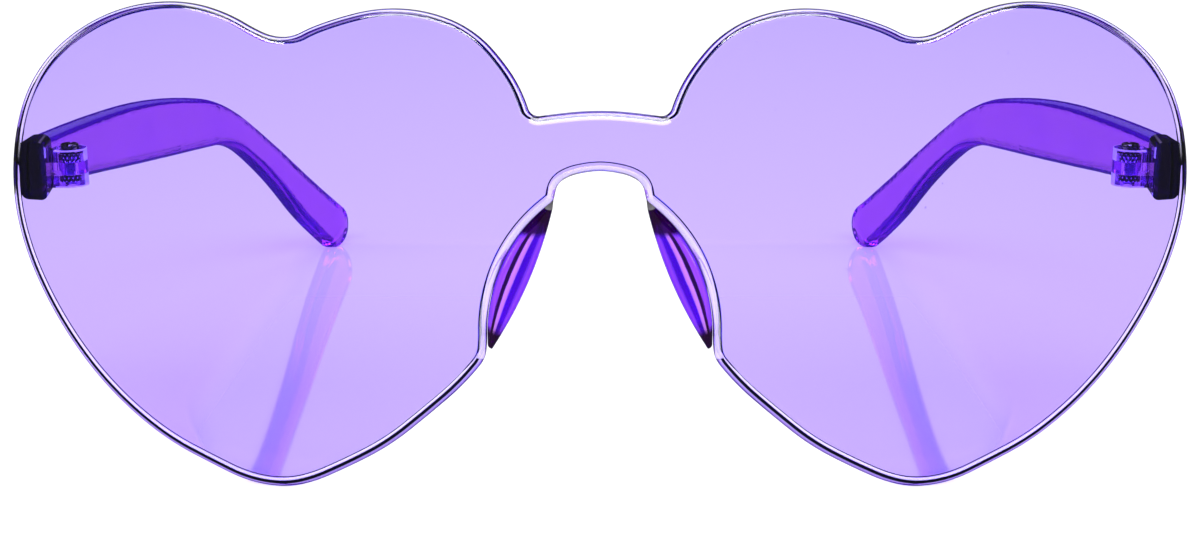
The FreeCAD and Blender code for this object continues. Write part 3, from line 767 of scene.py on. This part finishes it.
def table_finish():
    """White, with a polished patch under the arms whose normal leans outwards at either side.

    It glows for the camera and for rays through clear plastic. It is dim where a smooth surface mirrors it
    and, in front, for rays that have met more than the two faces of one sheet."""
    material = bpy.data.materials.new("white_table")
    tree = Tree(material)
    across, along, _ = tree.axes(tree.place())
    lit = tree.value("ShaderNodeBsdfDiffuse", None, {"Color": TABLE_COLOUR})
    glowing = (ray_kind(tree, "Camera") + ray_kind(tree, "Transmission")) * TABLE_GLOW_SHARE
    glows = [tree.value("ShaderNodeEmission", None, {"Color": WHITE, "Strength": level})
             for level in TABLE_GLOW_LEVELS]
    plain, bright = [tree.blend(glowing, lit, glow) for glow in glows]

    lean = (across.smooth(-PATCH_LEAN_HALF, PATCH_LEAN_HALF) - 0.5) * (2 * PATCH_LEAN)
    upright = tree.value("ShaderNodeCombineXYZ", None, {"X": lean, "Z": 1.0})
    mirror = tree.value("ShaderNodeBsdfGlossy", None, {
        "Color": WHITE, "Roughness": PATCH_ROUGHNESS, "Normal": upright})
    gloss = PATCH_GLOSS_SHARE + PATCH_GAIN_SHARE * along.smooth(PATCH_REAR, PATCH_FRONT)
    aside = abs(across) - HEART_FOOT
    ahead = along - PATCH_BEND * aside * aside
    patch = (along.smooth(PATCH_REAR, PATCH_REAR - PATCH_BLUR)
             * (PATCH_REST_SHARE + (1 - PATCH_REST_SHARE) * ahead.smooth(*PATCH_END))
             * abs(across).smooth(PATCH_HALF + PATCH_BLUR, PATCH_HALF))
    polished = tree.blend(patch, plain, tree.blend(gloss, bright, mirror))

    dim = tree.value("ShaderNodeBsdfDiffuse", None, {"Color": TABLE_SHADE})
    thrown_back = (ray_kind(tree, "Transmission") * (1 - straight_rays(tree))
                   * along.smooth(TABLE_FRONT + TABLE_FRONT_BLUR, TABLE_FRONT))
    whole = tree.blend(mirrored_rays(tree) + thrown_back, polished, dim)
    tree.node("ShaderNodeOutputMaterial", None, {"Surface": whole})
    return material


def table():
    """A pale table as one wide square."""
    mesh = bpy.data.meshes.new("table")
    corners = [(x * FLOOR_HALF, y * FLOOR_HALF, -FLOOR_DROP) for x, y in ((-1, -1), (1, -1), (1, 1), (-1, 1))]
    mesh.from_pydata(corners, [], [(0, 1, 2, 3)])
    mesh.materials.append(table_finish())
    top = bpy.data.objects.new("table", mesh)
    bpy.context.scene.collection.objects.link(top)


def room():
    """A dark room with a bright ceiling, bright strips at both sides and a white backdrop behind.

    Rays that went straight through a clear sheet meet a backdrop in front too. The camera sees plain white,
    and matt surfaces get an even fill."""
    world = bpy.data.worlds.new("studio_room")
    bpy.context.scene.world = world
    tree = Tree(world)
    across, rear, height = tree.axes(tree.value("ShaderNodeTexCoord", output="Generated"))
    through = ray_kind(tree, "Transmission")
    low = height.smooth(*BACKDROP_HEAD)
    backdrop = rear.smooth(*BACKDROP_DEPTHS) * low
    front = rear.smooth(*FRONT_DEPTHS) * low * straight_rays(tree)
    window = backdrop * height.smooth(*WINDOW_FOOT) * abs(across).smooth(*WINDOW_SIDES)
    strips = abs(across).smooth(*STRIP_SIDES) * height.smooth(*STRIP_FOOT) * height.smooth(*STRIP_HEAD)
    ceiling = (height.smooth(*CEILING_HEIGHTS) * CEILING_LEVEL
               + height.smooth(*CEILING_CORE_HEIGHTS) * CEILING_CORE_LEVEL)
    level = (ROOM_LEVEL + ceiling + strips * STRIP_LEVEL
             + through * ((backdrop + front) * BACKDROP_LEVEL + ROOM_LEVEL_THROUGH)
             + (1 - through) * window * (WINDOW_LEVEL + WINDOW_GAIN * height.smooth(*WINDOW_RISE)))
    seen, plain, fill = [tree.value("ShaderNodeBackground", None, {"Color": WHITE, "Strength": strength})
                         for strength in (level, 1.0, ROOM_FILL)]
    bent = tree.blend(ray_kind(tree, "Diffuse"), seen, fill)
    whole = tree.blend(ray_kind(tree, "Camera"), bent, plain)
    tree.node("ShaderNodeOutputWorld", None, {"Surface": whole})


def softbox():
    """A soft rectangular light that points at the middle of the object's foot."""
    light = bpy.data.lights.new("softbox", "AREA")
    light.shape = "RECTANGLE"
    light.size, light.size_y = SOFTBOX_SIZE
    light.energy = SOFTBOX_POWER
    lamp = bpy.data.objects.new("softbox", light)
    lamp.location = SOFTBOX_PLACE
    lamp.rotation_euler = (-SOFTBOX_PLACE).to_track_quat("-Z", "Y").to_euler()
    bpy.context.scene.collection.objects.link(lamp)


def camera():
    """A camera on the middle plane that looks down at the front."""
    lens = bpy.data.cameras.new("camera")
    lens.lens = CAMERA_LENS
    lens.sensor_width = SENSOR_WIDTH
    lens.clip_start = MM
    eye = bpy.data.objects.new("camera", lens)
    eye.location = CAMERA_PLACE
    eye.rotation_euler = Euler((math.radians(90 - CAMERA_PITCH), 0, 0))
    bpy.context.scene.collection.objects.link(eye)
    bpy.context.scene.camera = eye


finishes = {
    "tinted_lens": clear_plastic("clear_purple_lens", (0.62, 0.89, 0.0), 450.0, lens_paint, PAINTED_PALE_HIGHLIGHT),
    "tinted_pad": clear_plastic("clear_purple_pad", (0.3, 0.8, 0.02), 60.0, pad_paint, DEEP_CLOUD, 0.6),
    "tinted_hinge": clear_plastic("clear_purple_hinge", (0.36, 1.0, 0.13), 200.0, hinge_paint, PAINTED_PALE_HIGHLIGHT),
    "tinted_temple": clear_plastic("clear_purple_moulding", (0.36, 1.0, 0.13), 300.0, arm_paint, DEEP_CLOUD),
    "hinge_metal": plated_metal("plated_metal"),
}
slots = {part["node"]: part["material_slot"] for part in frame["record"]["subparts"]}
for name, part in frame["nodes"].items():
    part.data.materials.clear()
    part.data.materials.append(finishes[slots[name]])

front_lens()
for side in (1, -1):
    nose_pad(side)
for word in ("left", "right"):
    for ring in ("bush", "nut"):
        knurled_ring("%s_hinge_%s" % (word, ring))
table()
room()
softbox()
camera()
bpy.context.scene.view_settings.view_transform = "Standard"
